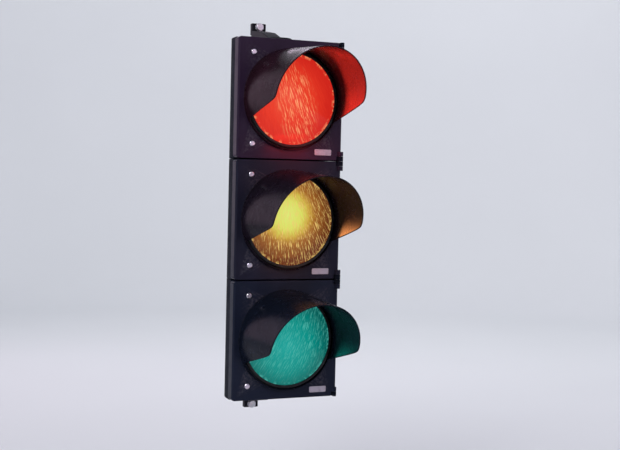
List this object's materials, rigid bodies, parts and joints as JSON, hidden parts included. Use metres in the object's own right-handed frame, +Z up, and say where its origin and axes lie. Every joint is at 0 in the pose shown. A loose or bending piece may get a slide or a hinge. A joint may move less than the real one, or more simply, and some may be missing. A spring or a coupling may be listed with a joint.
{
  "type": "traffic signal head",
  "caption": "Upright black signal head with red, amber and green domed lenses under cutaway visors, hinged doors, and a pole bracket above and below.",
  "frame": {"origin": "on the axis of the pole that the brackets grip, level with the middle lens", "axes": "+Z up along the pole, -Y is the way the lenses face, +X to the right seen from the front"},
  "size_m": [0.259, 0.4492, 0.9252],
  "materials": {
    "body_black": "satin black plastic",
    "door_black": "satin black plastic",
    "visor_black": "satin outside, matt black inside",
    "rubber_black": "matt",
    "lens_red": "clear red prismatic",
    "lens_amber": "clear amber prismatic",
    "lens_green": "clear green prismatic",
    "reflector": "bright anodised",
    "cream_plastic": "moulded",
    "lamp_glass": "frosted glass",
    "badge": "plain pale grey plate",
    "steel": "zinc plated",
    "bracket_black": "black powder coat"
  },
  "bodies": {
    "brackets": {"upper_bracket": "bracket_black", "upper_rosette": "steel", "upper_pole_bolt": "steel", "upper_pole_washer": "steel", "lower_bracket": "bracket_black", "lower_rosette": "steel", "lower_pole_bolt": "steel", "lower_pole_washer": "steel"},
    "head": {"housing_red": "body_black", "housing_amber": "body_black", "housing_green": "body_black", "hinge_pin_red_upper": "steel", "hinge_pin_red_lower": "steel", "hinge_pin_amber_upper": "steel", "hinge_pin_amber_lower": "steel", "hinge_pin_green_upper": "steel", "hinge_pin_green_lower": "steel", "coupling_nipple_upper": "bracket_black", "coupling_nut_upper": "steel", "coupling_nipple_lower": "bracket_black", "coupling_nut_lower": "steel", "upper_hub_bolt": "bracket_black", "lower_hub_bolt": "bracket_black", "cable_grommet": "rubber_black", "terminal_block": "cream_plastic"},
    "red_door": {"door_red": "door_black", "door_seal_red": "rubber_black", "visor_red": "visor_black", "lens_gasket_red": "rubber_black", "lens_red": "lens_red", "reflector_red": "reflector", "badge_plate_red": "badge"},
    "red_lamp_unit": {"lamp_holder_red": "cream_plastic", "lamp_red": "lamp_glass"},
    "red_latch_upper": {"latch_red_upper": "steel"},
    "red_latch_lower": {"latch_red_lower": "steel"},
    "amber_door": {"door_amber": "door_black", "door_seal_amber": "rubber_black", "visor_amber": "visor_black", "lens_gasket_amber": "rubber_black", "lens_amber": "lens_amber", "reflector_amber": "reflector", "badge_plate_amber": "badge"},
    "amber_lamp_unit": {"lamp_holder_amber": "cream_plastic", "lamp_amber": "lamp_glass"},
    "amber_latch_upper": {"latch_amber_upper": "steel"},
    "amber_latch_lower": {"latch_amber_lower": "steel"},
    "green_door": {"door_green": "door_black", "door_seal_green": "rubber_black", "visor_green": "visor_black", "lens_gasket_green": "rubber_black", "lens_green": "lens_green", "reflector_green": "reflector", "badge_plate_green": "badge"},
    "green_lamp_unit": {"lamp_holder_green": "cream_plastic", "lamp_green": "lamp_glass"},
    "green_latch_upper": {"latch_green_upper": "steel"},
    "green_latch_lower": {"latch_green_lower": "steel"}
  },
  "joints": [
    {"name": "head_swivel", "type": "hinge", "parent": "brackets", "child": "head", "pos_m": [0, -0.182, 0], "axis": [0, 0, 1], "range_deg": [-90, 90]},
    {"name": "red_door_hinge", "type": "hinge", "parent": "head", "child": "red_door", "pos_m": [0.1245, -0.26, 0.27], "axis": [0, 0, 1], "range_deg": [0, 110]},
    {"name": "red_lamp_twist", "type": "hinge", "parent": "red_door", "child": "red_lamp_unit", "pos_m": [0, -0.172, 0.27], "axis": [0, 1, 0], "range_deg": [0, 45]},
    {"name": "red_latch_upper_turn", "type": "hinge", "parent": "red_door", "child": "red_latch_upper", "pos_m": [-0.0913, -0.262, 0.371], "axis": [0, 1, 0], "range_deg": [0, 90]},
    {"name": "red_latch_lower_turn", "type": "hinge", "parent": "red_door", "child": "red_latch_lower", "pos_m": [-0.0913, -0.262, 0.169], "axis": [0, 1, 0], "range_deg": [0, 90]},
    {"name": "amber_door_hinge", "type": "hinge", "parent": "head", "child": "amber_door", "pos_m": [0.1245, -0.26, 0], "axis": [0, 0, 1], "range_deg": [0, 110]},
    {"name": "amber_lamp_twist", "type": "hinge", "parent": "amber_door", "child": "amber_lamp_unit", "pos_m": [0, -0.172, 0], "axis": [0, 1, 0], "range_deg": [0, 45]},
    {"name": "amber_latch_upper_turn", "type": "hinge", "parent": "amber_door", "child": "amber_latch_upper", "pos_m": [-0.0913, -0.262, 0.101], "axis": [0, 1, 0], "range_deg": [0, 90]},
    {"name": "amber_latch_lower_turn", "type": "hinge", "parent": "amber_door", "child": "amber_latch_lower", "pos_m": [-0.0913, -0.262, -0.101], "axis": [0, 1, 0], "range_deg": [0, 90]},
    {"name": "green_door_hinge", "type": "hinge", "parent": "head", "child": "green_door", "pos_m": [0.1245, -0.26, -0.27], "axis": [0, 0, 1], "range_deg": [0, 110]},
    {"name": "green_lamp_twist", "type": "hinge", "parent": "green_door", "child": "green_lamp_unit", "pos_m": [0, -0.172, -0.27], "axis": [0, 1, 0], "range_deg": [0, 45]},
    {"name": "green_latch_upper_turn", "type": "hinge", "parent": "green_door", "child": "green_latch_upper", "pos_m": [-0.0913, -0.262, -0.169], "axis": [0, 1, 0], "range_deg": [0, 90]},
    {"name": "green_latch_lower_turn", "type": "hinge", "parent": "green_door", "child": "green_latch_lower", "pos_m": [-0.0913, -0.262, -0.371], "axis": [0, 1, 0], "range_deg": [0, 90]}
  ]
}
